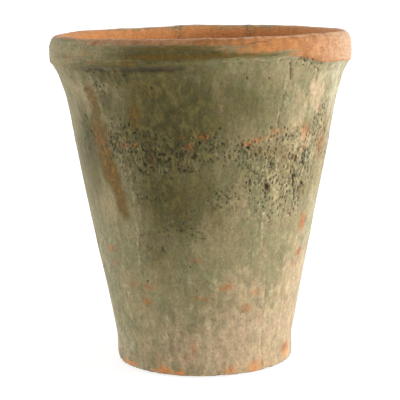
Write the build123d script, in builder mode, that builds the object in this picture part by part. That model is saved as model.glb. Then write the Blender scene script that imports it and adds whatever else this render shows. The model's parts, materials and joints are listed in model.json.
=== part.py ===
from build123d import *
import os

# A tall terracotta rose pot, open at the top, with one drain hole in its floor. It is made of three members
# of clay, luted together with slip before firing: a base slab, a flared wall that stands on the slab, and a
# rim coil folded over the wall's top edge. Each is one solid here, and they meet face to face.
#
# Millimetres, +Z up. The origin is the centre of the face that the pot rests on. The sections of the wall
# and the rim are drawn on Plane.XZ, where X is the radius and Y the height, and are revolved about Z.

# The pot's overall size
POT_HEIGHT = 276.0
RIM_RADIUS = 125.0
FOOT_RADIUS = 74.2
WALL_THICKNESS = 9.6

# The base slab and its drain hole
SLAB_THICKNESS = 14.0
FOOT_EDGE_RADIUS = 3.5
DRAIN_RADIUS = 11.0
DRAIN_EDGE_RADIUS = 1.5

# The wall's outside: an upright foot, a straight taper up to the neck, a flare from there, and a quicker
# flare just under the rim that ends at the shoulder
FOOT_TOP = 21.0
NECK_HEIGHT = 222.0
NECK_RADIUS = 112.0
FLARE_HEIGHT = 245.0
FLARE_RADIUS = 118.6
SHOULDER_HEIGHT = 253.0
SHOULDER_RADIUS = 123.2
FOOT_BLEND_RADIUS = 60.0
NECK_BLEND_RADIUS = 110.0
FLARE_BLEND_RADIUS = 20.0

# The wall's inside: a cove in the lowest corner, which ends in a thin upright land on the slab
COVE_RADIUS = 12.0
COVE_FOOT_RADIUS = 52.0
LAND_HEIGHT = 1.0

# The tongue is the wall's thinned top edge, which the rim coil wraps round
TONGUE_TOP = 261.0
TONGUE_RADIUS = 116.5
THROAT_RADIUS = 108.6

# The rim coil: a soft roll below, an upright outside, and a crown of two elliptical quarters
ROLL_TOP = 257.0
CROWN_START = 264.5
CREST_RADIUS = 118.5

# Values worked out from the ones above
taper = (NECK_RADIUS - FOOT_RADIUS) / (NECK_HEIGHT - FOOT_TOP)
land_top = SLAB_THICKNESS + LAND_HEIGHT
corner_radius = FOOT_RADIUS - WALL_THICKNESS - taper * (FOOT_TOP - land_top)
crown_height = POT_HEIGHT - CROWN_START

os.makedirs("parts", exist_ok=True)

# Base slab: a disc with a worn lower edge, and a drain hole with both of its edges rounded
with BuildPart() as base_slab:
    with BuildSketch():
        Circle(FOOT_RADIUS)
    extrude(amount=SLAB_THICKNESS)
    Hole(DRAIN_RADIUS)
    drain_edges = base_slab.edges().filter_by(GeomType.CIRCLE).group_by(SortBy.RADIUS)[0]
    fillet(drain_edges, DRAIN_EDGE_RADIUS)
    foot_edge = base_slab.edges().group_by(Axis.Z)[0].sort_by(SortBy.RADIUS)[-1]
    fillet(foot_edge, FOOT_EDGE_RADIUS)
base_slab.part.label = "base_slab"
export_step(base_slab.part, "parts/base_slab.step")

# Wall: from its seat on the slab up to the tongue inside the rim
with BuildPart() as wall:
    with BuildSketch(Plane.XZ):
        with BuildLine():
            FilletPolyline(
                (FOOT_RADIUS, SLAB_THICKNESS),
                (FOOT_RADIUS, FOOT_TOP),
                (NECK_RADIUS, NECK_HEIGHT),
                (FLARE_RADIUS, FLARE_HEIGHT),
                (SHOULDER_RADIUS, SHOULDER_HEIGHT),
                radius=[FOOT_BLEND_RADIUS, NECK_BLEND_RADIUS, FLARE_BLEND_RADIUS],
            )
            Polyline(
                (SHOULDER_RADIUS, SHOULDER_HEIGHT),
                (TONGUE_RADIUS, SHOULDER_HEIGHT),
                (TONGUE_RADIUS, TONGUE_TOP),
                (THROAT_RADIUS, TONGUE_TOP),
            )
            FilletPolyline(
                (THROAT_RADIUS, TONGUE_TOP),
                (NECK_RADIUS - WALL_THICKNESS, NECK_HEIGHT),
                (corner_radius, land_top),
                (COVE_FOOT_RADIUS, land_top),
                radius=[NECK_BLEND_RADIUS, COVE_RADIUS],
            )
            Polyline(
                (COVE_FOOT_RADIUS, land_top),
                (COVE_FOOT_RADIUS, SLAB_THICKNESS),
                (FOOT_RADIUS, SLAB_THICKNESS),
            )
        make_face()
    revolve(axis=Axis.Z)
wall.part.label = "wall"
export_step(wall.part, "parts/wall.step")

# Rim coil: seated on the wall's shoulder and wrapped round its tongue
with BuildPart() as rim_coil:
    with BuildSketch(Plane.XZ):
        with BuildLine():
            Polyline(
                (THROAT_RADIUS, CROWN_START),
                (THROAT_RADIUS, TONGUE_TOP),
                (TONGUE_RADIUS, TONGUE_TOP),
                (TONGUE_RADIUS, SHOULDER_HEIGHT),
                (SHOULDER_RADIUS, SHOULDER_HEIGHT),
            )
            TangentArc(
                (RIM_RADIUS, ROLL_TOP),
                (SHOULDER_RADIUS, SHOULDER_HEIGHT),
                tangent=(0, -1),
            )
            Line((RIM_RADIUS, ROLL_TOP), (RIM_RADIUS, CROWN_START))
            EllipticalCenterArc(
                (CREST_RADIUS, CROWN_START),
                RIM_RADIUS - CREST_RADIUS,
                crown_height,
                start_angle=0,
                arc_size=90,
            )
            EllipticalCenterArc(
                (CREST_RADIUS, CROWN_START),
                CREST_RADIUS - THROAT_RADIUS,
                crown_height,
                start_angle=90,
                arc_size=90,
            )
        make_face()
    revolve(axis=Axis.Z)
rim_coil.part.label = "rim_coil"
export_step(rim_coil.part, "parts/rim_coil.step")

for member in (base_slab, wall, rim_coil):
    print(member.part.label, f"{member.part.volume / 1000:.1f} cm3", member.part.bounding_box().size)
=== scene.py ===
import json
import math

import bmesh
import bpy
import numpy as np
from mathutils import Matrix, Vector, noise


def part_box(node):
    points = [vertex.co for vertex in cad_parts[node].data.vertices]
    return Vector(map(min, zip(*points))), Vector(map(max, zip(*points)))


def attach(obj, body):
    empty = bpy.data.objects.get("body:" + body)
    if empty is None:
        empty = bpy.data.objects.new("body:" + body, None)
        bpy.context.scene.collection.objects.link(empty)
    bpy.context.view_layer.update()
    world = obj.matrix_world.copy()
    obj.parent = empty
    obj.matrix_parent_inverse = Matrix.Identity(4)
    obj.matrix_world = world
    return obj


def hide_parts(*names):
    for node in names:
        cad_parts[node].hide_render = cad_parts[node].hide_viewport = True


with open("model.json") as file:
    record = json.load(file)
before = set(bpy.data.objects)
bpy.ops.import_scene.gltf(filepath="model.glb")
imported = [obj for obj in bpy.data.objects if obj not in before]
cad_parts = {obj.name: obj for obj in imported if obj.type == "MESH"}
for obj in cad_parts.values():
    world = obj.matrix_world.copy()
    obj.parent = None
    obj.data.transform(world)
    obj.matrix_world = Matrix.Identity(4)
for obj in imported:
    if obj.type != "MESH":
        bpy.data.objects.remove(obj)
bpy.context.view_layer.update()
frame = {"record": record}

# A weathered, hand-made terracotta rose pot, in its three members of clay: base slab, wall and rim coil.
# Each is one closed mesh: its section is revolved, refined where the clay is rough, and pushed in and out by
# one relief that runs over all three, so that they meet exactly. The masks of patina, bare clay and pits are
# worked out at the same points, and the node materials add the finer grain.
#
# The modelling is in millimetres, as radius, azimuth and height. Azimuth is in degrees from the front (-Y)
# towards +X, and runs from -180 to 180.

MM = 0.001


# ---- Sizes, from the frame

slab_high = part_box("base_slab")[1] / MM
wall_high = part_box("wall")[1] / MM
coil_low, coil_high = [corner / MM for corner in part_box("rim_coil")]
mounts = {mount["name"]: mount for mount in frame["record"]["mounts"]}

FOOT_RADIUS = slab_high.x
SLAB_TOP = slab_high.z
SHOULDER = coil_low.z
SHOULDER_RADIUS = wall_high.x
TONGUE_TOP = wall_high.z
RIM_RADIUS = coil_high.x
POT_HEIGHT = coil_high.z
DRAIN_RADIUS = mounts["drain_hole"]["dims"]["r_mm"]

# Sizes that the frame doesn't give, most of them counted from those that it does
WALL = 9.6
FOOT_TOP = SLAB_TOP + 7.0
NECK = SHOULDER - 31.0
NECK_RADIUS = RIM_RADIUS - 13.0
FLARE = SHOULDER - 8.0
FLARE_RADIUS = SHOULDER_RADIUS - 4.6
THROAT_RADIUS = RIM_RADIUS - 16.4
TONGUE_RADIUS = RIM_RADIUS - 8.5
CREST_RADIUS = RIM_RADIUS - 6.5
CROWN_START = POT_HEIGHT - 11.5
ROLL_TOP = SHOULDER + 4.0
FOOT_EDGE = 3.5
DRAIN_EDGE = 1.5
COVE = 12.0
COVE_FOOT = 52.0
LAND_TOP = SLAB_TOP + 1.0
COVE_MIDDLE = LAND_TOP + COVE
TAPER = (NECK_RADIUS - FOOT_RADIUS) / (NECK - FOOT_TOP)

# Mesh fineness, before any refining: columns round the pot, and the distance between rows on each run
COLUMNS = 240
OUTSIDE_ROW = 2.5
INSIDE_ROW = 4.2
COVE_ROW = 2.4
BAND_ROW = 1.7
ROLL_ROW = 1.1
FOOT_ROW = 1.2
UNDER_ROW = 3.6
DRAIN_ROW = 0.8
BORE_ROW = 2.2
FLOOR_ROW = 3.0


# ---- Small helpers

def smooth(value, low, high):
    """0 at low, 1 at high, an S-shaped rise between, and level beyond. With low above high it falls."""
    t = np.clip((value - low) / (high - low), 0.0, 1.0)
    return t * t * (3.0 - 2.0 * t)


def turn(azimuth, centre):
    """The azimuth counted from centre, from -180 to 180."""
    return (azimuth - centre + 180.0) % 360.0 - 180.0


def lumps(points, size, octaves, tall, shift):
    """Smooth noise from about -1 to 1, in lumps of about that size in mm, tall times as high as wide."""
    scale = np.array([1.0 / size, 1.0 / size, 1.0 / (size * tall)])
    scaled = points * scale + shift
    return np.array([noise.fractal(Vector(p), 1.0, 2.0, octaves) for p in scaled.tolist()])


def cartesian(azimuth, radius, height):
    """Points in x, y and z."""
    a = np.radians(azimuth)
    return np.stack([radius * np.sin(a), -radius * np.cos(a), height], 1)


def patches(azimuth, height, spots):
    """The strongest of some soft oval patches at each point. A spot is (azimuth, height, half width in
    degrees, half height in mm, strength)."""
    result = np.zeros(len(azimuth))
    for centre, middle, wide, high, strength in spots:
        spread = (turn(azimuth, centre) / wide) ** 2 + ((height - middle) / high) ** 2
        result = np.maximum(result, strength * np.exp(-spread))
    return result


def path_distance(azimuth, height, radius, path):
    """How far each point is from a path of (azimuth, height) points, in mm, and on which side, -1 or 1."""
    best = np.full(len(azimuth), 1e9)
    side = np.zeros(len(azimuth))
    around = np.radians(radius)
    for (a0, z0), (a1, z1) in zip(path, path[1:]):
        x = turn(azimuth, a0) * around
        y = height - z0
        dx = (a1 - a0) * around
        dy = z1 - z0
        t = np.clip((x * dx + y * dy) / (dx * dx + dy * dy), 0.0, 1.0)
        gap_x = x - t * dx
        gap = np.hypot(gap_x, y - t * dy)
        side = np.where(gap < best, np.sign(gap_x), side)
        best = np.minimum(best, gap)
    return best, side


# ---- Sections

def even(start, end, row):
    """Evenly spaced values from start to end, no further apart than row."""
    steps = math.ceil(abs(end - start) / row)
    return [start + (end - start) * i / steps for i in range(steps + 1)]


def run(start, end, row=math.inf):
    """Points on a straight run, no further apart than row. With no row it is one step."""
    steps = max(1, math.ceil(math.dist(start, end) / row))
    return [tuple(a + (b - a) * i / steps for a, b in zip(start, end)) for i in range(steps + 1)]


def arc(centre, radii, first, last, row):
    """Points on an elliptical arc between two angles in degrees."""
    length = math.radians(abs(last - first)) * (radii[0] + radii[1]) / 2
    steps = max(2, math.ceil(length / row))
    angles = [math.radians(first + (last - first) * i / steps) for i in range(steps + 1)]
    return [(centre[0] + radii[0] * math.cos(a), centre[1] + radii[1] * math.sin(a)) for a in angles]


def wall_radius(height):
    """The outside of the wall: foot, taper and flare, with their corners eased."""
    ease = 0.4
    flare_slope = (FLARE_RADIUS - NECK_RADIUS) / (FLARE - NECK)
    lip_slope = (SHOULDER_RADIUS - FLARE_RADIUS) / (SHOULDER - FLARE)
    lines = [FOOT_RADIUS,
             FOOT_RADIUS + TAPER * (height - FOOT_TOP),
             NECK_RADIUS + flare_slope * (height - NECK),
             FLARE_RADIUS + lip_slope * (height - FLARE)]
    top = max(lines)
    return top + ease * math.log(sum(math.exp((line - top) / ease) for line in lines))


def inner_radius(height):
    """The inside of the wall above the cove."""
    neck_inside = NECK_RADIUS - WALL
    if height > NECK:
        return neck_inside + (THROAT_RADIUS - neck_inside) * (height - NECK) / (TONGUE_TOP - NECK)
    return neck_inside - TAPER * (NECK - height)


class Section:
    """A closed outline in (radius, height), clockwise with the radius to the right, made of runs. The
    clay's surface is on its left. Each row knows which skin it is on and which way that skin is pushed.
    The rows where runs meet are sharp."""

    SKINS = ("outside", "inside", "under")

    def __init__(self):
        self.points = []
        self.push = []
        self.skin = []
        self.sharp = set()

    def add(self, points, skin=None, first_push=None, last_push=None):
        """Adds a run. With no skin it is hidden, and its ends keep what the runs beside it say."""
        points = np.array(points)
        slope = np.gradient(points, axis=0)
        push = np.stack([-slope[:, 1], slope[:, 0]], 1)
        push /= np.linalg.norm(push, axis=1)[:, None]
        if first_push:
            push[0] = first_push
        if last_push:
            push[-1] = last_push
        weight = np.zeros((len(points), 3))
        if skin:
            weight[:, self.SKINS.index(skin)] = 1.0
        if self.points:
            self.sharp.add(len(self.points) - 1)
            if skin and not self.skin[-1].any():
                self.push[-1], self.skin[-1] = push[0], weight[0]
            points, push, weight = points[1:], push[1:], weight[1:]
        self.points.extend(points)
        self.push.extend(push)
        self.skin.extend(weight)

    def close(self):
        """Drops the last row, which is the first again, and turns the rows into arrays."""
        for rows in (self.points, self.push, self.skin):
            rows.pop()
        self.sharp.add(0)
        self.points = np.array(self.points)
        self.push = np.array(self.push)
        self.skin = np.array(self.skin)
        return self

    def at(self, along):
        """Radius, height, push and skins at fractional rows."""
        rows = np.arange(len(self.points))

        def pick(table):
            return np.stack([np.interp(along, rows, column) for column in table.T], 1)

        return pick(self.points), pick(self.push), pick(self.skin)


# The ways that the ends of some runs are pushed, as (radius, height)
OUT = (1.0, 0.0)
IN = (-1.0, 0.0)
UP = (0.0, 1.0)


def wall_section():
    skin = [(wall_radius(z), z) for z in even(SHOULDER, SLAB_TOP, OUTSIDE_ROW)]
    skin[0] = (SHOULDER_RADIUS, SHOULDER)
    skin[-1] = (FOOT_RADIUS, SLAB_TOP)
    inner = [(inner_radius(z), z) for z in even(COVE_MIDDLE, TONGUE_TOP, INSIDE_ROW)]
    cove = arc((inner[0][0] - COVE, COVE_MIDDLE), (COVE, COVE), -90, 0, COVE_ROW)
    floor = run((COVE_FOOT, LAND_TOP), cove[0], INSIDE_ROW)
    section = Section()
    section.add(run((TONGUE_RADIUS, SHOULDER), skin[0]))
    section.add(skin, "outside", OUT, OUT)
    section.add(run(skin[-1], (COVE_FOOT, SLAB_TOP)))
    section.add([(COVE_FOOT, SLAB_TOP)] + floor + cove[1:] + inner[1:], "inside", UP, IN)
    section.add(run(inner[-1], (TONGUE_RADIUS, TONGUE_TOP)))
    section.add(run((TONGUE_RADIUS, TONGUE_TOP), (TONGUE_RADIUS, SHOULDER)))
    return section.close()


def rim_section():
    crown = POT_HEIGHT - CROWN_START
    centre = (CREST_RADIUS, CROWN_START)
    throat = run((THROAT_RADIUS, TONGUE_TOP), (THROAT_RADIUS, CROWN_START), BAND_ROW)
    inner = arc(centre, (CREST_RADIUS - THROAT_RADIUS, crown), 180, 90, BAND_ROW)
    outer = arc(centre, (RIM_RADIUS - CREST_RADIUS, crown), 90, 0, BAND_ROW)
    band = run((RIM_RADIUS, CROWN_START), (RIM_RADIUS, ROLL_TOP), BAND_ROW)
    roll_radii = (RIM_RADIUS - SHOULDER_RADIUS, ROLL_TOP - SHOULDER)
    roll = arc((SHOULDER_RADIUS, ROLL_TOP), roll_radii, 0, -90, ROLL_ROW)
    skin = throat + inner[1:] + outer[1:] + band[1:] + roll[1:]
    section = Section()
    section.add(run((TONGUE_RADIUS, TONGUE_TOP), throat[0]))
    section.add(skin, "outside", IN, OUT)
    section.add(run(skin[-1], (TONGUE_RADIUS, SHOULDER)))
    section.add(run((TONGUE_RADIUS, SHOULDER), (TONGUE_RADIUS, TONGUE_TOP)))
    section.close()
    # The crown's inner half belongs to the inside
    turned = np.array([radius < CREST_RADIUS for radius, height in section.points])
    section.skin[turned] = section.skin[turned][:, [1, 0, 2]]
    return section


def slab_section():
    hidden = (COVE_FOOT + FOOT_RADIUS) / 2
    foot_radii = (FOOT_EDGE, FOOT_EDGE)
    drain_radii = (DRAIN_EDGE, DRAIN_EDGE)
    drain_centre = DRAIN_RADIUS + DRAIN_EDGE
    side = run((FOOT_RADIUS, SLAB_TOP), (FOOT_RADIUS, FOOT_EDGE), BAND_ROW)
    edge = arc((FOOT_RADIUS - FOOT_EDGE, FOOT_EDGE), foot_radii, 0, -90, FOOT_ROW)
    below = run(edge[-1], (drain_centre, 0.0), UNDER_ROW)
    lower = arc((drain_centre, DRAIN_EDGE), drain_radii, 270, 180, DRAIN_ROW)
    bore = run(lower[-1], (DRAIN_RADIUS, SLAB_TOP - DRAIN_EDGE), BORE_ROW)
    upper = arc((drain_centre, SLAB_TOP - DRAIN_EDGE), drain_radii, 180, 90, DRAIN_ROW)
    floor = run(upper[-1], (COVE_FOOT, SLAB_TOP), FLOOR_ROW)
    section = Section()
    section.add(run((hidden, SLAB_TOP), side[0]))
    section.add(side + edge[1:], "outside", OUT)
    section.add(below, "under")
    section.add(lower + bore[1:] + upper[1:] + floor[1:], "inside", None, UP)
    section.add(run(floor[-1], (hidden, SLAB_TOP)))
    return section.close()


# ---- The hand's error in the shape

# Where the crest stands off its mean height: (azimuth, half width in degrees, lift in mm)
CREST_BUMPS = [
    (-95, 30, -1), (-50, 18, -0.5), (45, 26, 0.8), (140, 20, 0.4), (180, 18, 1.2), (-150, 20, -0.4),
]

# The same for the rim's lower edge, which rides up right of the front
CREASE_BUMPS = [(16, 27, 6), (37, 9, 4.3), (130, 24, 1.4), (170, 20, -1.2), (-145, 26, 1.8)]


def bumps(azimuth, places):
    """The sum of some soft bumps round the pot."""
    return sum(lift * np.exp(-(turn(azimuth, centre) / wide) ** 2) for centre, wide, lift in places)


def warp(azimuth, height):
    """How far a point is lifted: nothing below the neck, the crease's lift at the shoulder, and the crest's
    at the top. Besides their bumps, the crest has 5 small waves round the pot, and the crease 7 and 13."""
    crest = bumps(azimuth, CREST_BUMPS) + 0.15 * np.sin(np.radians(azimuth * 5 + 60))
    ripple = 0.35 * np.sin(np.radians(azimuth * 7)) + 0.25 * np.sin(np.radians(azimuth * 13 + 40))
    crease = bumps(azimuth, CREASE_BUMPS) + ripple - 1.2
    at_crease = smooth(height, NECK, SHOULDER)
    at_crest = smooth(height, SHOULDER, POT_HEIGHT - 6)
    return crease * at_crease * (1 - at_crest) + crest * at_crest


def wobble(azimuth, height):
    """The wheel's and the hand's error in the radius of inside and outside alike, in mm: two and three lobes
    round the pot, a belly halfway up that is fuller on the left, and a rim that leans out on the left."""
    a = np.radians(azimuth)
    lobes = 0.4 * np.sin(2 * a + 0.6) + 0.25 * np.sin(3 * a + height / 60)
    belly = smooth(height, 50, 130) * (1 - smooth(height, 165, 232)) * (0.75 - 0.45 * np.sin(a))
    left_rim = np.clip(-np.sin(a), 0, 1) ** 3 * smooth(height, NECK, SHOULDER)
    return lobes * smooth(height, 4, 60) + belly + left_rim


# ---- Where the clay is rough, worn or stained, and where shade and light are painted

# Crusted, pitted bands: (azimuth, height, half width in degrees, half height in mm, strength)
CRUST = [
    (-34, 190, 14, 24, 1), (-20, 184, 13, 20, 1), (-5, 188, 10, 18, 0.9), (3, 192, 7, 14, 0.75),
    (-58, 196, 8, 26, 0.55), (-6, 138, 7, 7, 0.45), (-26, 152, 16, 12, 0.45), (-48, 224, 9, 12, 0.45),
    (28, 172, 12, 26, 1), (46, 166, 12, 34, 1), (60, 200, 8, 24, 0.95), (33, 198, 15, 9, 0.7),
    (20, 188, 8, 10, 0.9), (33, 142, 14, 14, 0.6), (10, 152, 14, 16, 0.5), (-10, 128, 22, 20, 0.35),
    (-30, 112, 14, 18, 0.3), (12, 190, 9, 14, 0.6), (-46, 238, 12, 10, 0.6), (42, 253, 6, 5, 0.9),
    (-38, 212, 9, 12, 0.4), (70, 176, 8, 18, 0.5), (92, 178, 18, 24, 0.8), (124, 168, 16, 30, 0.9),
    (150, 186, 18, 16, 0.8), (178, 172, 16, 26, 0.9), (-152, 190, 18, 18, 0.8), (-122, 176, 20, 24, 0.85),
    (-88, 186, 12, 16, 0.6), (140, 120, 24, 20, 0.4),
]

# The largest pits: (azimuth, height, radius in mm, depth in mm)
BIG_PITS = [
    (-37, 186, 1.3, 1.1), (-16, 187, 1.3, 1.2), (-14, 183, 1.4, 1.3), (-22, 176, 1.5, 1.3),
    (-28, 173, 1.4, 1.2), (-8, 174, 1.4, 1.2), (-30, 179, 1, 0.9), (-31, 210, 1.1, 0.9),
    (7, 207, 1.2, 1), (19, 191, 1.3, 1.1), (23, 185, 1.6, 1.2), (31, 176, 1.9, 1.3), (30, 158, 2.3, 1.7),
    (45, 177, 1.8, 1.4), (50, 181, 1.4, 1.2), (48, 145, 1.5, 1.2), (-7, 95, 0.9, 0.9), (1, 201, 1.3, 1.3),
    (75, 255, 2.3, 1.6), (-3, 186, 1, 1), (105, 182, 2, 1.5), (131, 160, 2.3, 1.6),
    (170, 176, 2, 1.4), (-140, 184, 1.8, 1.4), (-115, 170, 2.1, 1.5), (-96, 203, 1.4, 1.1),
    (160, 92, 1.4, 1.1), (-62, 250, 1.2, 1), (-60, 246, 1, 0.9), (-47, 251, 1.4, 1.1),
    (-43, 251, 1.2, 1.1), (-36, 250, 1, 0.9), (-34, 239, 1, 0.9), (-41, 235, 0.9, 0.8),
    (-19, 239, 1.1, 0.9), (-11, 252, 1.5, 0.8), (-4, 254, 1.2, 0.7), (17, 242, 1.2, 0.8),
    (26, 241, 0.9, 0.8), (-29, 249, 1.1, 0.9),
]

# Cracks and creases: (path of azimuths and heights, half width in mm, depth in mm, height of the lip beside
# it, how broken it is from 0 to 1)
CRACKS = [
    ([(34, 252), (35, 247), (36, 241)], 0.9, 1.3, 0, 0.1),
    ([(36, 241), (34, 230), (33, 219), (33, 205)], 0.9, 0.9, 0.3, 0.4),
    ([(49, 249), (50, 244), (50, 239)], 1.1, 1.4, 0, 0),
    ([(52, 228), (54, 214), (53, 203)], 0.8, 0.9, 0.1, 0.5),
    ([(45, 165), (46, 158), (48, 146)], 0.9, 1.3, 0.2, 0.3),
    ([(49, 143), (48, 137), (45, 133)], 0.8, 0.8, 0, 0.5),
    ([(30, 136), (31, 113), (34, 94), (36, 70), (36, 49), (38, 22), (40, 4)], 0.9, 0.55, 0.3, 0.8),
    ([(-57, 214), (-55, 205), (-53, 197)], 0.8, 0.9, 0.1, 0.4),
    ([(-45, 238), (-42, 233)], 0.9, 1, 0.2, 0.3),
    ([(17, 271.5), (20, 272.5), (24, 272.5)], 0.7, 0.8, 0, 0.1),
    ([(-25, 242), (-24, 239)], 0.7, 0.8, 0, 0.2),
    ([(-33, 169), (-34, 131), (-35, 106), (-36, 84), (-38, 62)], 1.3, -0.25, 0, 0.5),
    ([(118, 240), (120, 214), (119, 190)], 0.9, 0.8, 0.2, 0.5),
    ([(-150, 232), (-151, 205), (-148, 186)], 0.9, 0.7, 0.2, 0.5),
    ([(-128, 120), (-130, 84), (-133, 40), (-134, 12)], 0.9, 0.5, 0.3, 0.7),
    ([(158, 134), (160, 88), (159, 40)], 1.3, -0.25, 0, 0.5),
]

# Dark olive patina
OLIVE = [
    (-14, 214, 34, 60, 1), (-14, 154, 29, 46, 0.85), (-42, 190, 16, 44, 0.6), (14, 226, 22, 34, 0.7),
    (12, 168, 18, 30, 0.5), (6, 120, 26, 26, 0.35), (-22, 116, 18, 38, 0.6), (-26, 250, 40, 12, 1),
    (3, 263, 20, 8, 1), (26, 259, 17, 3.6, 0.8), (-14, 264, 26, 9, 1), (-60, 186, 16, 54, 0.75),
    (-42, 226, 10, 22, 0.75), (-38, 150, 9, 26, 0.5), (64, 158, 10, 18, 0.5), (-9, 97, 12, 14, 0.42),
    (-25, 80, 8, 9, 0.42), (25, 82, 8, 9, 0.42), (140, 210, 34, 44, 0.8), (112, 170, 26, 40, 0.5),
    (-128, 204, 32, 50, 0.85), (178, 160, 30, 44, 0.6), (-150, 254, 46, 14, 0.7),
]

# Warm pink-tan wash where the patina is thin
WARM = [
    (40, 20, 60, 46, 1), (70, 60, 30, 60, 0.9), (0, 18, 50, 36, 0.75), (24, 70, 22, 34, 0.6),
    (-50, 12, 30, 22, 0.45), (46, 216, 10, 24, 0.5), (54, 231, 6, 15, 0.95), (50, 196, 9, 12, 0.6),
    (72, 190, 10, 40, 0.5), (-28, 214, 3, 16, 0.9), (30, 72, 8, 8, 0.6), (120, 30, 50, 40, 0.8),
    (-160, 24, 60, 42, 0.8), (-100, 20, 40, 30, 0.6), (165, 80, 26, 34, 0.6),
]

# Pale sage film and bloom. The patch at 66 degrees and 249 mm is painted light on the wall under the rim on
# the right, against the rim's shade.
PALE = [
    (-76, 190, 12, 70, 0.35), (-70, 90, 20, 60, 0.5), (66, 249, 16, 9, 1), (71, 226, 13, 22, 0.8),
    (52, 180, 10, 60, 0.4), (70, 120, 16, 60, 0.6), (36, 228, 6, 14, 0.5), (30, 120, 10, 40, 0.3),
    (5, 75, 3, 4, 0.7), (38, 71, 3, 5, 0.7), (-36, 172, 8, 14, 0.45), (100, 150, 22, 70, 0.6),
    (-64, 22, 22, 26, 0.6), (-78, 36, 14, 46, 0.6), (-100, 140, 22, 80, 0.6), (170, 220, 26, 26, 0.5),
    (9, 270, 2, 1.5, 1), (-52, 256, 24, 12, 0.25),
]

# Bare orange clay
BARE = [
    (-35, 193, 3.2, 2.2, 0.9), (-29, 193.5, 3.4, 1.8, 0.8), (-8, 200, 2.2, 3, 0.6),
    (-5, 194, 3, 4, 0.65), (0.6, 200.5, 2.6, 3.2, 0.85), (18, 194, 4.4, 3, 0.6),
    (25, 197, 5, 3.8, 0.62), (33, 202, 3.8, 4, 0.68), (49, 200, 4.5, 10, 0.52), (59, 88, 4.5, 4, 0.7),
    (61, 98, 4.5, 5, 0.75), (60, 124, 4.5, 12, 0.7), (63, 188, 5.5, 17, 0.6), (12, 77, 4.8, 5, 0.5),
    (-2, 68, 7, 3, 0.7), (30, 71, 6.5, 4, 0.6), (-58, 104, 6, 3.4, 0.6), (-44, 76, 4.4, 3.6, 0.65),
    (-31, 76, 5, 4, 0.65), (-42, 156, 3.4, 3.6, 0.6), (-35, 62, 3.6, 4.4, 0.65), (24, 58, 4, 5, 0.5),
    (-58, 4, 10, 3, 0.95), (-28, 4, 9, 4.5, 1), (-17, 3, 6, 3.4, 0.95), (-7, 24, 3.2, 7, 0.8),
    (16, 5, 6, 4, 0.9), (33, 6, 7, 6, 1), (64, 13, 7, 8, 0.85), (48, 6, 7, 3, 0.5),
    (50, 186, 3, 5, 0.5), (-12, 16, 3, 3, 0.5), (-31, 14, 3, 5, 0.6), (-40, 273.5, 8, 2.2, 0.7),
    (-56, 262, 3, 2, 0.45), (-47, 265, 5, 2.5, 0.5), (-43, 259, 3, 1.8, 0.5), (-62, 256, 2.5, 1.5, 0.4),
    (-56, 92, 4, 3, 0.45), (20, 94, 4, 5, 0.4), (-4, 100, 5, 3, 0.4), (90, 5, 12, 5, 0.95),
    (118, 6, 10, 5, 0.8), (150, 5, 16, 5, 0.95), (-170, 5, 12, 5, 0.9), (-130, 5, 14, 5, 0.95),
    (-92, 5, 9, 5, 0.85), (112, 190, 4, 5, 0.8), (135, 150, 5, 4, 0.8), (172, 196, 4, 4, 0.8),
    (-146, 176, 5, 4, 0.8), (-104, 118, 4, 5, 0.7), (150, 60, 5, 6, 0.65), (-160, 110, 5, 6, 0.65),
    (108, 84, 6, 5, 0.6), (-118, 66, 6, 4, 0.6), (178, 36, 5, 6, 0.6),
]

# Rust-brown runs of clay: (path of azimuths and heights, half width in mm, strength)
RUST = [
    ([(-50, 236), (-49, 214), (-49, 200)], 6.5, 0.72),
    ([(-49, 200), (-48, 192), (-46, 172), (-44, 164)], 9.5, 1),
    ([(-44, 164), (-42, 154), (-41, 142), (-40, 136)], 6, 0.75),
    ([(128, 232), (130, 200), (134, 168), (138, 150)], 5, 0.8),
    ([(-92, 150), (-95, 132), (-94, 114), (-98, 96)], 5, 0.5),
]

# Brown stains
BROWN = [
    (-28, 216, 3.2, 13, 0.65), (-6, 269.5, 26, 3, 0.5), (-16, 263, 13, 2.5, 0.8), (0, 262, 14, 3, 0.6),
    (-60, 262, 10, 3, 0.4), (-27, 258, 5, 3, 0.5), (-36, 258, 5, 2, 0.4), (-12, 150, 5, 16, 0.3),
    (-22, 236, 9, 10, 0.35), (10, 260.5, 22, 3.6, 0.6), (34, 186, 9, 12, 0.4), (24, 188, 6, 8, 0.35),
    (30, 158, 3, 4, 0.5), (42, 168, 6, 14, 0.35), (53, 152, 6, 14, 0.4), (66, 188, 5, 22, 0.4),
    (-150, 262, 20, 3, 0.5), (160, 212, 6, 14, 0.4),
]

# Where the rim's lower edge is a deeper crease with painted shade in it: (azimuth, half width in degrees,
# strength)
CREASE_DEPTH_AND_SHADE = [
    (-66, 8, 0.2), (-42, 9, 1), (-26, 16, 0.6), (44, 12, 0.9), (100, 25, 0.7), (-120, 30, 0.7),
    (170, 25, 0.6),
]

# Where soft, dark painted shade lies on the wall under the rim, in the same way
PAINTED_SHADE_UNDER_RIM = [(-46, 10, 0.5), (-20, 20, 0.9), (-16, 9, 0.4)]

# Where the crease has a pale upper edge, and where the rim's clay is brightest, in the same way
PALE_SEAM = [(18, 24, 1)]
BRIGHT_RIM = [(24, 16, 1)]

# The scattered pits: how many places are tried, and between which heights
PIT_TRIES = 17000
LOWEST_PIT = 22
HIGHEST_PIT = 248

# Pits that overlap are no deeper than this
DEEPEST = 2


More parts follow.
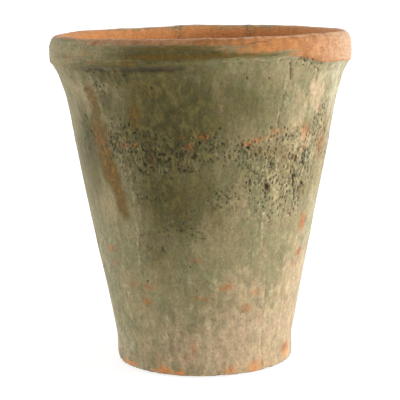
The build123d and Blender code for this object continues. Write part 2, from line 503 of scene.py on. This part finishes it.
def scatter_pits():
    """The largest pits, with others in clumps over the crusted bands and a few elsewhere. A pit is (azimuth,
    height, radius, depth, tallness, darkness)."""
    random = np.random.default_rng(20)
    pits = [(a, z, radius, depth, 1.15, 1) for a, z, radius, depth in BIG_PITS]
    azimuth = random.uniform(-180, 180, PIT_TRIES)
    height = random.uniform(LOWEST_PIT, HIGHEST_PIT, PIT_TRIES)
    clumps = smooth(lumps(cartesian(azimuth, NECK_RADIUS, height), 7, 2, 1.5, 5), -0.35, 0.45)
    chance = (0.66 * patches(azimuth, height, CRUST) ** 1.2 + 0.012) * (0.35 + 1.3 * clumps)
    radii = np.clip(random.lognormal(-0.32, 0.34, PIT_TRIES), 0.5, 1.7)

    # The pits of the right-hand band are taller, and those left of the front darker
    right_hand = azimuth > 15
    tall = random.uniform(0.8, 1.5, PIT_TRIES) + random.uniform(0.2, 1.4, PIT_TRIES) * right_hand
    dark = random.uniform(0.35, 0.95, PIT_TRIES)
    dark = np.where(abs(azimuth + 25) < 45, np.sqrt(dark), dark)
    for i in np.nonzero(random.uniform(0, 1, PIT_TRIES) < chance)[0]:
        pits.append((azimuth[i], height[i], radii[i], 0.75 * radii[i], tall[i], dark[i]))
    return pits


PITS = scatter_pits()


def stamp_pits(azimuth, height, radius, stray):
    """The relief of all pits in mm, with their raised lips, and how dark a pit each point is in, 0 to 1."""
    relief = np.zeros(len(azimuth))
    hollow = np.zeros(len(azimuth))
    order = np.argsort(height)
    ordered = height[order]
    for a, z, size, depth, tall, dark in PITS:
        reach = 2.4 * size * tall
        near = order[np.searchsorted(ordered, z - reach):np.searchsorted(ordered, z + reach)]
        near = near[abs(np.radians(turn(azimuth[near], a)) * radius[near]) < reach]
        x = np.radians(turn(azimuth[near], a)) * radius[near]
        gap = np.hypot(x, (height[near] - z) / tall) / size + 0.45 * stray[near]
        bowl = np.clip(1 - gap, 0, 1) ** 0.8
        lip = np.exp(-((gap - 1.35) / 0.35) ** 2)
        relief[near] += 0.2 * depth * lip - depth * bowl
        hollow[near] = np.maximum(hollow[near], dark * np.clip(1.3 * (1 - gap), 0, 1))
    return np.maximum(relief, -DEEPEST), hollow


def stamp_cracks(azimuth, height, radius, stray, breaks):
    """The relief of the cracks in mm, how deep in one each point is, 0 to 1, and the pale lips beside them. A
    crack of negative depth is a pale scar that stands out."""
    relief = np.zeros(len(azimuth))
    hollow = np.zeros(len(azimuth))
    lips = np.zeros(len(azimuth))
    strayed = azimuth + np.degrees(1.6 * stray / radius)
    for path, width, depth, lip, broken in CRACKS:
        gap, side = path_distance(strayed, height, radius, path)
        whole = 1 - broken * smooth(breaks, -0.25, 0.25)
        groove = np.exp(-(gap / width) ** 2) * whole
        ridge = np.exp(-((gap - 2.2 * width) / (1.1 * width)) ** 2) * (side < 0)
        ridge = ridge * (1 - broken * smooth(-breaks, -0.2, 0.3))
        relief += lip * ridge - depth * groove
        if depth > 0:
            hollow = np.maximum(hollow, groove * min(1, 0.8 * depth))
            lips = np.maximum(lips, ridge * 2.4 * lip)
        else:
            lips = np.maximum(lips, 0.8 * groove)
    return relief, hollow, lips


# ---- Relief and colour masks

class Grain:
    """The noises that the relief and the colours share, each about -1 to 1."""

    def __init__(self, points):
        self.broad = lumps(points, 36, 2, 1.3, 3)
        self.medium = lumps(points, 11, 3, 1.5, 11)
        self.fine = lumps(points, 3.4, 3, 1.2, 23)
        self.streaks = lumps(points, 8, 2, 5, 47)
        self.craggy = 1 - 2.6 * abs(lumps(points, 4.6, 3, 1.6, 61))
        self.bands = lumps(points, 7, 2, 0.16, 83)

    def flow(self, rim):
        """Streaks down the wall, and faint bands round the rim."""
        return self.streaks * (1 - rim) + 0.25 * self.bands * rim


def crease_groove_and_shade(azimuth, height, grain):
    """How deep the crease under the rim is, and how much painted shade lies in it and just under the rim,
    from 0 to 1.
    """
    strength = np.clip(0.22 + bumps(azimuth, CREASE_DEPTH_AND_SHADE), 0, 1)
    strength = strength * (0.25 + 0.75 * smooth(grain.fine + 0.4 * grain.medium, -0.15, 0.3))
    line = np.exp(-((height - SHOULDER - 0.1 + 1.8 * grain.fine) / (1 + 0.9 * strength)) ** 2)
    # Painted shade: a soft dark band on the wall just under the rim's overhang
    painted_shade_under_rim = 0.75 * bumps(azimuth, PAINTED_SHADE_UNDER_RIM) * np.exp(-((height - SHOULDER) / 2.8) ** 2)
    return np.maximum(0.95 * strength * line, painted_shade_under_rim)


def outside_relief(azimuth, radius, height, zone, rim, grain):
    """How far the outside skin stands out in mm, with the dark of pits and cracks, the painted shade in the
    crease, under the rim and along the foot, and the pale of lips.
    """
    pit_relief, pit_dark = stamp_pits(azimuth, height, radius, grain.fine)
    crack_relief, crack_dark, lips = stamp_cracks(azimuth, height, radius, grain.fine, grain.medium)
    body = 0.34 * grain.broad + 0.16 * grain.medium + 0.08 * grain.fine + 0.12 * grain.streaks * (1 - rim)
    crag = zone * (0.42 * grain.craggy + 0.25 * grain.fine)
    wheel = height + 0.9 * grain.broad
    throwing = rim * (0.15 * np.sin(wheel * 2.1) + 0.09 * np.sin(wheel * 4.3 + 2 * grain.broad))
    throwing += rim * 0.22 * grain.bands
    # The crease is a real groove, up to 1.1 mm deep, and the same mask paints shade in it through dark
    crease = crease_groove_and_shade(azimuth, height, grain)
    worn = 0.6 + 1 * smooth(grain.medium + 0.5 * grain.fine, -0.2, 0.7)
    edge_wear = -worn * np.exp(-(height / 4) ** 2)
    relief = body + crag + throwing + edge_wear + pit_relief + crack_relief - 1.1 * crease
    cracks = zone * smooth(-grain.craggy, 0, 0.7) * 0.7
    # Painted contact shadow: a dark, broken line along the foot, where the pot meets the floor
    painted_contact_shadow = 0.85 * np.exp(-(height / 1.9) ** 2) * smooth(grain.medium, -0.9, 0.4)
    dark = np.maximum.reduce([pit_dark, crack_dark, 0.95 * crease, cracks, painted_contact_shadow])
    return relief, dark, lips, edge_wear


def inside_relief(radius, height, rim, grain):
    """How far the inside skin stands in mm: finger rings, fading to nothing where the cove meets the slab."""
    rings = 0.28 * np.sin(height * 0.75 + 1.3 * grain.broad) * smooth(height, SLAB_TOP + 14, SLAB_TOP + 40)
    calm = smooth(abs(height - SLAB_TOP - 0.6), 0.2, 2)
    relief = (rings * (1 - rim) + 0.26 * grain.broad + 0.2 * grain.medium + 0.08 * grain.fine) * calm
    floor = 0.1 * grain.medium * (1 - calm) * smooth(COVE_FOOT - radius, 1, 6)
    return relief + floor + 0.12 * rim * grain.bands


def rim_bareness(azimuth, height, grain):
    """How bare the rim is: orange from right of the front round to the back, and along most of its crest."""
    wash = 0.5 * grain.medium + 0.5 * grain.fine
    right_half = smooth(azimuth + 9 * wash, -3, 28) * (1 - smooth(azimuth, 120, 168))
    crest_share = 0.15 + 0.85 * smooth(azimuth, -52, -22)
    top_line = smooth(height + 1.6 * wash, POT_HEIGHT - 6.5, POT_HEIGHT - 2.5) * crest_share
    low = 1 - smooth(height + 2.5 * wash - 0.22 * turn(azimuth, 22), SHOULDER + 6, SHOULDER + 12)
    low = low * (1 - smooth(azimuth, 26, 44))
    return np.clip(right_half * (1 - 0.9 * low) + 0.85 * top_line, 0, 1)


def outside_film(azimuth, height, rim, lips, crest_highlight, rim_bare, grain):
    """The patina outside: how olive, warm and pale it is. The painted highlight along the crest and the bare
    rim have no olive on them, and the highlight is warm.
    """
    medium = grain.medium
    flow = grain.flow(rim)
    olive = patches(azimuth + 5 * grain.broad * (1 - rim), height + 12 * flow, OLIVE)
    olive = olive * (1 - 0.9 * rim_bare) * (1 - crest_highlight)

    warm = patches(azimuth + 6 * medium, height + 10 * flow, WARM)
    warm = np.maximum(warm, rim * smooth(azimuth, 0, 86) * (1 - smooth(azimuth, 110, 150)))
    crest_band = 0.6 * rim * smooth(height + medium, POT_HEIGHT - 6, POT_HEIGHT - 3)
    crest_band = crest_band * smooth(azimuth, 10, -10) * smooth(azimuth, -62, -40)
    warm = np.maximum(warm, np.maximum(crest_highlight, crest_band))

    pale = np.maximum(patches(azimuth + 4 * medium, height + 14 * flow, PALE), lips)
    seam = bumps(azimuth, PALE_SEAM) * np.exp(-((height - SHOULDER - 1.2) / 1) ** 2)
    seam = seam * smooth(grain.fine, -0.7, 0.3)
    return olive, warm, np.maximum(pale, 0.6 * seam)


def outside_bare(azimuth, height, edge_wear, crest_highlight, rim_bare, grain):
    """How bare the clay is outside: in worn spots, along the foot, on the rim and on its crest, and as a
    painted highlight along the crest line.
    """
    spots = patches(azimuth + 1.6 * grain.fine, height + 1.8 * grain.fine, BARE)
    bare = spots * (0.75 + 0.5 * smooth(grain.medium, -0.4, 0.4))
    bare = np.maximum(bare, 0.45 * smooth(-edge_wear, 0.9, 1.5))
    return np.maximum(bare, np.maximum(rim_bare, crest_highlight))


def rust_stain(azimuth, radius, height, rim, grain):
    """How rusty or brown the outside is."""
    uneven = 0.7 + 0.5 * smooth(grain.fine, -0.4, 0.4)
    rust = patches(azimuth + 2 * grain.medium, height + 2.5 * grain.flow(rim), BROWN)
    for path, width, strength in RUST:
        gap, _ = path_distance(azimuth + 1.5 * grain.medium, height, radius, path)
        rust = np.maximum(rust, strength * np.exp(-(gap / width) ** 2) * uneven)
    return rust


def inside_masks(azimuth, height, crest_highlight, damp, grain):
    """The inside's olive, pale and bare: clay with bloom, and patina low down, in patches, and along the far
    part of the crest, with a painted highlight that makes the crest line pale."""
    cloudy = grain.broad + grain.medium
    far = smooth(abs(azimuth), 118, 150)
    far_crest = far * smooth(height + 1.5 * grain.medium, POT_HEIGHT - 4, POT_HEIGHT - 0.8)
    patina = 0.55 * damp + 0.55 * far * smooth(cloudy, 0.15, 0.6)
    olive = np.maximum(patina, 0.3 * far_crest)
    pale = np.maximum.reduce([0.5 * smooth(cloudy, 0.1, 0.9), 0.6 * far_crest, 0.8 * crest_highlight])
    bare = (0.95 - 0.45 * damp - 0.5 * patina * (1 - damp)) * (1 - 0.45 * far_crest)
    return olive, pale, bare


def surface(points, azimuth, radius, height, skin):
    """The push of each point along its skin's normal, in mm, and its colour masks, each from 0 to 1: film
    holds (olive, warm, pale), clay holds (bare, rust, dark hollow and painted shade), and grit holds (crust,
    rim, fresh clay and painted crest highlight)."""
    outside, inside, under = skin.T
    zone = patches(azimuth, height, CRUST) * outside
    rim = smooth(height, SHOULDER, SHOULDER + 3)
    grain = Grain(points)

    out_relief, dark, lips, edge_wear = outside_relief(azimuth, radius, height, zone, rim, grain)
    in_relief = inside_relief(radius, height, rim, grain)
    under_relief = -0.12 * smooth(grain.medium + 0.6 * grain.fine, -0.2, 0.9)
    push = outside * out_relief + inside * in_relief + under * under_relief

    # Painted highlight: a pale, warm line along the rim's crest, where it catches the light, laid into the
    # warm, bare, pale and fresh masks
    crest_highlight = rim * np.exp(-((height - POT_HEIGHT) / 1.6) ** 2) * smooth(grain.fine, -0.9, 0.1)
    rim_bare = rim_bareness(azimuth, height, grain) * smooth(height, SHOULDER + 0.5, SHOULDER + 2)
    damp = 1 - smooth(height + 8 * grain.medium, 60, 150)
    olive, warm, pale = outside_film(azimuth, height, rim, lips, crest_highlight, rim_bare, grain)
    bare = outside_bare(azimuth, height, edge_wear, crest_highlight, rim_bare, grain)
    in_olive, in_pale, in_bare = inside_masks(azimuth, height, crest_highlight, damp, grain)

    olive = olive * outside + inside * in_olive + under * 0.05
    warm = warm * outside + inside * 0.2 + under * 0.6
    pale = pale * outside + inside * in_pale + under * 0.25
    bare = bare * outside + inside * in_bare + under * 0.75
    rust = rust_stain(azimuth, radius, height, rim, grain) * outside
    # The painted highlight along the crest, and the brightest clay of the rim right of the front
    crest_highlight_and_bright_rim = np.maximum(0.35 * crest_highlight, 0.4 * bumps(azimuth, BRIGHT_RIM) * rim * bare)
    fresh_and_highlight = outside * np.maximum(1 - smooth(height, 7, 15), crest_highlight_and_bright_rim)
    fresh_and_highlight = np.maximum(inside * (1 - 0.5 * damp), fresh_and_highlight)

    film = np.stack([olive, warm, pale], 1)
    clay = np.stack([bare, rust, dark * outside], 1)
    grit = np.stack([zone, rim, fresh_and_highlight], 1)
    return push, np.clip(film, 0, 1), np.clip(clay, 0, 1), np.clip(grit, 0, 1)


# ---- Meshes

def rough_level(azimuth, height, radius):
    """How many times the outside skin is refined: twice in dense crust and at large pits, and once in thin
    crust and near cracks, bare spots, runs of rust and the joints."""
    zone = patches(azimuth, height, CRUST)
    level = (zone > 0.2).astype(int) + (zone > 0.62)
    marks = patches(azimuth, height, BARE) > 0.2
    for path, *rest in CRACKS + RUST:
        gap, _ = path_distance(azimuth, height, radius, path)
        marks = marks | (gap < 3.5)
    level = np.maximum(level, marks.astype(int))
    for a, z, size, depth in BIG_PITS:
        gap = np.hypot(np.radians(turn(azimuth, a)) * radius, height - z)
        level = np.where(gap < 2.5 * size, 2, level)
    joint = (height < SLAB_TOP + 3) | (height > SHOULDER - 3)
    return np.where(joint, 1, level)


def revolve(section):
    """A bmesh of the section revolved in COLUMNS columns, whose vertices keep their row as 'along'."""
    bm = bmesh.new()
    along = bm.verts.layers.float.new("along")
    rings = []
    for row, (radius, height) in enumerate(section.points):
        ring = []
        for column in range(COLUMNS):
            a = 2 * math.pi * column / COLUMNS
            vert = bm.verts.new((radius * math.sin(a), -radius * math.cos(a), height))
            vert[along] = row
            ring.append(vert)
        rings.append(ring)
    for upper, lower in zip(rings, rings[1:] + rings[:1]):
        for i in range(COLUMNS):
            j = (i + 1) % COLUMNS
            bm.faces.new((upper[i], lower[i], lower[j], upper[j]))
    bm.normal_update()
    return bm, along


def refine(bm, along, level_of):
    """Splits faces in four, once or twice, as level_of says at their middles. Faces between the last row and
    the first are left whole, because the mean of their rows means nothing."""
    for level in (1, 2):
        faces = []
        means = []
        for face in bm.faces:
            rows = [vert[along] for vert in face.verts]
            if max(rows) - min(rows) <= 1:
                faces.append(face)
                means.append(sum(rows) / len(rows))
        middles = np.array([face.calc_center_median() for face in faces])
        azimuth = np.degrees(np.arctan2(middles[:, 0], -middles[:, 1]))
        radius = np.hypot(middles[:, 0], middles[:, 1])
        wanted = level_of(azimuth, middles[:, 2], radius, np.array(means))
        chosen = [f for f, w in zip(faces, wanted) if w >= level and len(f.verts) == 4]
        edges = {e for f in chosen for e in f.edges}
        bmesh.ops.subdivide_edges(bm, edges=list(edges), cuts=1, use_grid_fill=True)


def build_piece(name, section, level_of, bump_depth, node):
    """One member of clay: revolved, refined, pushed into relief, coloured and put in the frame."""
    bm, along = revolve(section)
    refine(bm, along, level_of)
    for edge in bm.edges:
        row_a, row_b = (vert[along] for vert in edge.verts)
        edge.smooth = row_a != row_b or row_a not in section.sharp
    for face in bm.faces:
        face.smooth = True
    bmesh.ops.recalc_face_normals(bm, faces=bm.faces)
    mesh = bpy.data.meshes.new(name)
    bm.to_mesh(mesh)
    bm.free()

    rough = np.array([vert.co for vert in mesh.vertices])
    azimuth = np.degrees(np.arctan2(rough[:, 0], -rough[:, 1]))
    rows = np.array([item.value for item in mesh.attributes["along"].data])
    place, push_way, skin = section.at(rows)
    radius, height = place.T
    base = cartesian(azimuth, radius, height)
    push, film, clay, grit = surface(base, azimuth, radius, height, skin)

    new_radius = radius + wobble(azimuth, height) * smooth(radius, 20, 60) + push * push_way[:, 0]
    new_height = height + warp(azimuth, height) + push * push_way[:, 1]
    new_height = np.maximum(new_height, 0)  # nothing goes below the face that the pot rests on
    final = cartesian(azimuth, new_radius, new_height) * MM
    mesh.vertices.foreach_set("co", final.ravel())
    mesh.attributes.remove(mesh.attributes["along"])
    for label, values in (("film", film), ("clay", clay), ("grit", grit)):
        layer = mesh.attributes.new(label, "FLOAT_VECTOR", "POINT")
        layer.data.foreach_set("vector", values.ravel())
    mesh.update()
    mesh.validate()

    piece = bpy.data.objects.new(name, mesh)
    bpy.context.collection.objects.link(piece)
    mesh.materials.append(clay_material(name, bump_depth))
    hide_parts(node)
    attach(piece, "root")


# ---- Materials

class Nodes:
    """A new node material, and short ways to add the shader nodes that it needs."""

    def __init__(self, name):
        self.material = bpy.data.materials.new(name)
        self.material.use_nodes = True
        self.tree = self.material.node_tree
        self.tree.nodes.clear()
        self.place = self.add("TexCoord", {}).outputs["Object"]

    def add(self, kind, sockets, **settings):
        """A new node with these settings, its input sockets linked or set. A colour needs no alpha."""
        node = self.tree.nodes.new("ShaderNode" + kind)
        for setting, value in settings.items():
            setattr(node, setting, value)
        for name, value in sockets.items():
            socket = node.inputs[name]
            if isinstance(value, bpy.types.NodeSocket):
                self.tree.links.new(value, socket)
            elif isinstance(value, tuple) and len(socket.default_value) > len(value):
                socket.default_value = (*value, 1)
            else:
                socket.default_value = value
        return node

    def surface(self, sockets):
        """Gives the material its surface, and returns the material."""
        shader = self.add("BsdfPrincipled", sockets)
        self.add("OutputMaterial", {"Surface": shader.outputs["BSDF"]})
        return self.material

    def math(self, operation, a, b):
        return self.add("Math", {0: a, 1: b}, operation=operation).outputs[0]

    def plus(self, a, b):
        return self.math("ADD", a, b)

    def times(self, a, b):
        return self.math("MULTIPLY", a, b)

    def stray(self, value, amount):
        """A noise counted from its middle, times amount."""
        return self.times(self.math("SUBTRACT", value, 0.5), amount)

    def scaled(self, size, tall):
        """The place in the pot's own space, scaled for lumps of about size mm, tall times as high."""
        scale = 1 / (size * MM)
        sockets = {0: self.place, 1: (scale, scale, scale / tall)}
        return self.add("VectorMath", sockets, operation="MULTIPLY").outputs[0]

    def noise(self, size, detail=3, tall=1, rough=0.55):
        """Noise from 0 to 1, in lumps of about size mm, tall times as high as wide."""
        sockets = {"Vector": self.scaled(size, tall), "Scale": 1, "Detail": detail, "Roughness": rough}
        return self.add("TexNoise", sockets).outputs["Fac"]

    def pores(self, size, tall, full, rim):
        """Scattered irregular dots, one to a cell of about size mm: 1 up to full from the cell's middle, and
        0 from rim on, both as shares of the cell."""
        cells = self.add("TexVoronoi", {"Vector": self.scaled(size, tall), "Scale": 1})
        distance = self.plus(cells.outputs["Distance"], self.stray(self.noise(size / 3, 2), 0.35))
        return self.math("SUBTRACT", 1, self.rise(distance, full, rim))

    def swing(self, value, amount):
        """A factor about 1 that follows a noise, from 1 - amount to 1 + amount."""
        return self.plus(1 - amount, self.times(self.rise(value, 0.3, 0.7), 2 * amount))

    def choose(self, share, a, b):
        """A number that goes from a to b as share goes from 0 to 1."""
        return self.add("Mix", {0: share, 2: a, 3: b}, data_type="FLOAT").outputs[0]

    def grey(self, value):
        return self.add("CombineColor", {0: value, 1: value, 2: value}).outputs[0]

    def rise(self, value, low, high):
        """0 where value is at low, 1 at high, with a smooth step between. With low above high it falls."""
        sockets = {"Value": value, "From Min": low, "From Max": high}
        return self.add("MapRange", sockets, interpolation_type="SMOOTHSTEP").outputs["Result"]

    def mix(self, factor, a, b, blend="MIX"):
        return self.add("Mix", {0: factor, 6: a, 7: b}, data_type="RGBA", blend_type=blend).outputs[2]

    def mask(self, name):
        """The three masks that the mesh holds under this name."""
        masks = self.add("Attribute", {}, attribute_name=name).outputs["Vector"]
        return self.add("SeparateXYZ", {0: masks}).outputs

    def broken(self, mask, grain, amount, low, high):
        """A mask whose soft edge is broken up by a noise."""
        return self.rise(self.plus(mask, self.stray(grain, amount)), low, high)


# The colours of film, clay, stains and pits, and the two tints that vary the film. The pit colours also paint
# the shade in the crease, under the rim and along the foot.
SAGE = (0.238, 0.212, 0.108)
TAN = (0.303, 0.246, 0.13)
OLIVE_DARK = (0.08, 0.07, 0.022)
OLIVE_MID = (0.13, 0.11, 0.036)
PINK_TAN = (0.455, 0.335, 0.208)
CREAM = (0.44, 0.405, 0.275)
ORANGE = (0.44, 0.157, 0.037)
ORANGE_DEEP = (0.295, 0.102, 0.026)
CLAY_FRESH = (0.66, 0.265, 0.083)
SALMON = (0.46, 0.255, 0.135)
PEACH = (0.505, 0.35, 0.22)
RUST_BROWN = (0.142, 0.082, 0.012)
RUST_ORANGE = (0.35, 0.118, 0.012)
PIT_DARK = (0.03, 0.023, 0.011)
PIT_BROWN = (0.085, 0.046, 0.018)
GREEN_TINT = (0.975, 1.01, 0.95)
BROWN_TINT = (1.035, 0.985, 0.95)


def film_colour(n, olive, warm, pale, clouds, mottle, grain):
    """The patina: sage and tan, pink-tan where it is thin, olive where it is thick, with pale bloom."""
    film = n.mix(n.rise(clouds, 0.38, 0.62), SAGE, TAN)
    film = n.mix(n.times(n.rise(mottle, 0.58, 0.72), 0.7), film, CREAM)
    film = n.mix(n.times(n.broken(warm, mottle, 0.9, 0.2, 0.8), 0.9), film, PINK_TAN)
    deep = n.mix(n.rise(mottle, 0.38, 0.64), OLIVE_DARK, OLIVE_MID)
    film = n.mix(n.broken(olive, mottle, 1.1, 0.15, 0.85), film, deep)
    return n.mix(n.times(n.broken(pale, grain, 0.9, 0.3, 0.9), 0.75), film, CREAM)


def clay_colour(n, olive, warm, fresh_and_highlight, mottle, around):
    """Bare clay: orange, deep under olive, salmon and then peach in the warm parts, and brighter where it is
    fresh or painted with the crest highlight, with pale lines round the pot."""
    body = n.mix(n.rise(mottle, 0.38, 0.62), ORANGE_DEEP, ORANGE)
    body = n.mix(n.broken(warm, mottle, 1, 0.25, 1), body, SALMON)
    body = n.mix(n.times(n.rise(warm, 0.7, 1.02), 0.7), body, PEACH)
    body = n.mix(n.times(olive, 0.85), body, ORANGE_DEEP)
    body = n.mix(n.times(n.rise(around, 0.5, 0.38), 0.3), body, ORANGE)
    body = n.mix(n.times(fresh_and_highlight, 0.9), body, CLAY_FRESH)
    return n.mix(n.times(n.rise(around, 0.56, 0.74), 0.25), body, CREAM)


def fine_tone(n, crust, bare_share, mottle, grain, dust, lines):
    """A factor about 1 for the fine mottling: coarser in the crust, and weaker on bare clay."""
    tone = n.times(n.swing(mottle, 0.1), n.swing(grain, 0.17))
    tone = n.times(tone, n.times(n.swing(dust, 0.12), n.swing(lines, 0.11)))
    rough_tone = n.times(n.swing(n.noise(1.9, 3, 1.8), 0.38), n.swing(n.noise(4.2, 3, 1.5), 0.22))
    tone = n.times(tone, n.choose(crust, 1, rough_tone))
    return n.choose(n.times(bare_share, 0.4), tone, 1)


def small_pores(n, crust, grain):
    """Pores of two sizes crowded in the crust, and a thin scatter of specks elsewhere."""
    crowd = n.rise(n.plus(crust, n.times(grain, 0.6)), 0.38, 0.8)
    pores = n.times(n.pores(3.6, 1.4, 0.2, 0.34), crowd)
    fine_pores = n.times(n.pores(2.1, 1.6, 0.16, 0.32), crowd)
    specks = n.times(n.pores(5.5, 1.2, 0.06, 0.15), 0.5)
    return n.math("MAXIMUM", n.math("MAXIMUM", pores, n.times(fine_pores, 0.6)), specks)


def clay_bump(n, depth, grain, dust, lines, pores):
    """The normal with the finest relief on it. A height of 1 stands for depth mm."""
    height = n.plus(n.times(grain, 0.9), n.times(dust, 0.35))
    height = n.plus(height, n.times(lines, 0.4))
    height = n.math("SUBTRACT", height, n.times(pores, 1.3))
    return n.add("Bump", {"Strength": 0.9, "Distance": depth * MM, "Height": height}).outputs["Normal"]


def clay_material(name, bump_depth):
    """Weathered terracotta: orange clay under grey-green patina, with mottling, specks, pits and bloom."""
    n = Nodes(name)
    olive, warm, pale = n.mask("film")
    bare, rust, hollow = n.mask("clay")
    crust, rim, fresh_and_highlight = n.mask("grit")

    clouds = n.noise(30, 3, 1.4)
    hue = n.noise(9, 5, 1.2, 0.65)
    mottle = n.noise(6.5, 5, 1.5, 0.62)
    grain = n.noise(2.4, 4, 1.3, 0.62)
    dust = n.noise(0.9, 3)
    streak = n.noise(4, 4, 6)
    around = n.noise(9, 4, 0.11)
    lines = n.choose(rim, streak, around)

    colour = film_colour(n, olive, warm, pale, clouds, mottle, grain)
    tint = n.mix(n.rise(hue, 0.38, 0.62), GREEN_TINT, BROWN_TINT)
    colour = n.mix(1, colour, tint, "MULTIPLY")
    bare_share = n.times(n.broken(bare, grain, 1.2, 0.15, 0.9), 0.9)
    colour = n.mix(bare_share, colour, clay_colour(n, olive, n.times(warm, rim), fresh_and_highlight, mottle, around))
    rusty = n.mix(n.rise(n.plus(rust, n.times(grain, 1.4)), 1.5, 2.05), RUST_BROWN, RUST_ORANGE)
    colour = n.mix(n.times(n.broken(rust, grain, 0.95, 0.1, 0.66), 0.88), colour, rusty)
    tone = fine_tone(n, crust, bare_share, mottle, grain, dust, lines)
    colour = n.mix(1, colour, n.grey(tone), "MULTIPLY")

    deep = n.mix(n.rise(hue, 0.48, 0.6), PIT_DARK, PIT_BROWN)
    pores = small_pores(n, crust, grain)
    colour = n.mix(n.times(pores, 0.75), colour, deep)
    # The dark of pits and cracks, and the painted shade in the crease, under the rim and along the foot
    colour = n.mix(n.times(n.broken(hollow, grain, 0.8, 0.1, 0.95), 0.92), colour, deep)

    return n.surface({
        "Base Color": colour,
        "Roughness": n.plus(0.8, n.times(grain, 0.2)),
        "Specular IOR Level": 0.25,
        "Sheen Weight": 0.13,
        "Sheen Roughness": 0.5,
        "Normal": clay_bump(n, bump_depth, grain, dust, lines, pores),
    })


# ---- The pot

WALL_SECTION = wall_section()
RIM_SECTION = rim_section()
SLAB_SECTION = slab_section()


def wall_level(azimuth, height, radius, rows):
    """The wall's outside is refined where it is rough, and its throat once, up to the rim's inside."""
    outside = WALL_SECTION.at(rows)[2][:, 0] > 0.4
    throat = (~outside) & (height > TONGUE_TOP - 3) & (radius < TONGUE_RADIUS - 5)
    level = np.where(outside, rough_level(azimuth, height, radius), 0)
    return np.where(throat, 1, level)


def rim_level(azimuth, height, radius, rows):
    """The whole of the rim's skin that shows is refined once."""
    shown = np.nonzero(RIM_SECTION.skin.any(1))[0]
    return ((rows > shown.min()) & (rows < shown.max())).astype(int)


def slab_level(azimuth, height, radius, rows):
    """The slab's side and lower edge are refined once, and its underside and bore aren't."""
    return ((radius > FOOT_RADIUS - 5) & (height < SLAB_TOP - 0.1) & (rows > 1)).astype(int)


build_piece("clay_base", SLAB_SECTION, slab_level, 0.35, "base_slab")
build_piece("clay_wall", WALL_SECTION, wall_level, 0.35, "wall")
build_piece("clay_rim", RIM_SECTION, rim_level, 0.3, "rim_coil")


# ---- Stage, light and camera

# The floor and the backdrop: how far they reach from the pot's axis, and the bend between them, in metres
FLOOR_FRONT = 4.0
FLOOR_BACK = 2.2
FLOOR_SIDE = 5.0
BACKDROP_TOP = 2.5
BEND = 0.8
BEND_STEPS = 12

# The soft lights: azimuth and elevation in degrees, distance and size in metres, and power in watts
LIGHTS = {
    "key": (82, 18, 1.5, 1.1, 26.5),
    "left": (-98, 14, 1.6, 1.1, 9.0),
    "top": (0, 64, 2.4, 2.0, 12.0),
}
WORLD_LIGHT = 0.25
WHITE = (1.0, 1.0, 1.0, 1.0)

# The camera: its place in metres, its tilt and roll in degrees, and its lens in mm
CAMERA_PLACE = (-0.0024, -1.2429, 0.3309)
CAMERA_TILT = 8.98
CAMERA_ROLL = -0.82
CAMERA_LENS = 133.9


def floor_material():
    """Pale, with a glow of its own that grows away from the pot, so that it is even from end to end."""
    n = Nodes("pale_floor")
    distance = n.add("VectorMath", {0: n.place}, operation="LENGTH").outputs["Value"]
    sockets = {"Value": distance, "From Min": 0.1, "From Max": 0.9, "To Min": 0.78, "To Max": 0.93}
    glow = n.add("MapRange", sockets, interpolation_type="SMOOTHSTEP").outputs["Result"]
    return n.surface({
        "Base Color": (0.35, 0.35, 0.35),
        "Roughness": 0.9,
        "Emission Color": WHITE,
        "Emission Strength": glow,
    })


def floor_and_backdrop():
    """A pale floor that curves up into a backdrop well behind the pot."""
    outline = [(-FLOOR_FRONT, 0.0)]
    for step in range(BEND_STEPS + 1):
        a = math.radians(90 * step / BEND_STEPS)
        outline.append((FLOOR_BACK - BEND + BEND * math.sin(a), BEND - BEND * math.cos(a)))
    outline.append((FLOOR_BACK, BACKDROP_TOP))
    vertices = [(x, y, z) for x in (-FLOOR_SIDE, FLOOR_SIDE) for y, z in outline]
    count = len(outline)
    faces = [(i, count + i, count + i + 1, i + 1) for i in range(count - 1)]
    mesh = bpy.data.meshes.new("floor")
    mesh.from_pydata(vertices, [], faces)
    mesh.materials.append(floor_material())
    for face in mesh.polygons:
        face.use_smooth = True
    stage = bpy.data.objects.new("floor", mesh)
    bpy.context.collection.objects.link(stage)


def soft_light(name, azimuth, elevation, distance, size, power):
    """A square area light that faces the pot's middle."""
    data = bpy.data.lights.new(name, "AREA")
    data.shape = "SQUARE"
    data.size = size
    data.energy = power
    light = bpy.data.objects.new(name, data)
    a = math.radians(azimuth)
    e = math.radians(elevation)
    middle = Vector((0.0, 0.0, POT_HEIGHT * MM / 2))
    way = Vector((math.sin(a) * math.cos(e), -math.cos(a) * math.cos(e), math.sin(e)))
    light.location = middle + way * distance
    light.rotation_euler = (-way).to_track_quat("-Z", "Y").to_euler()
    bpy.context.collection.objects.link(light)


def world_light():
    world = bpy.data.worlds.new("studio")
    world.use_nodes = True
    background = world.node_tree.nodes["Background"]
    background.inputs["Color"].default_value = WHITE
    background.inputs["Strength"].default_value = WORLD_LIGHT
    bpy.context.scene.world = world


def camera():
    """A long lens a little above the rim, looking down a little and rolled a little."""
    data = bpy.data.cameras.new("camera")
    data.sensor_width = 36.0
    data.lens = CAMERA_LENS
    view = bpy.data.objects.new("camera", data)
    view.location = CAMERA_PLACE
    pitch = Matrix.Rotation(math.radians(90.0 - CAMERA_TILT), 3, "X")
    roll = Matrix.Rotation(math.radians(CAMERA_ROLL), 3, "Z")
    view.rotation_euler = (pitch @ roll).to_euler()
    bpy.context.collection.objects.link(view)
    bpy.context.scene.camera = view


floor_and_backdrop()
for light_name, settings in LIGHTS.items():
    soft_light(light_name, *settings)
world_light()
camera()
bpy.context.scene.view_settings.view_transform = "Standard"
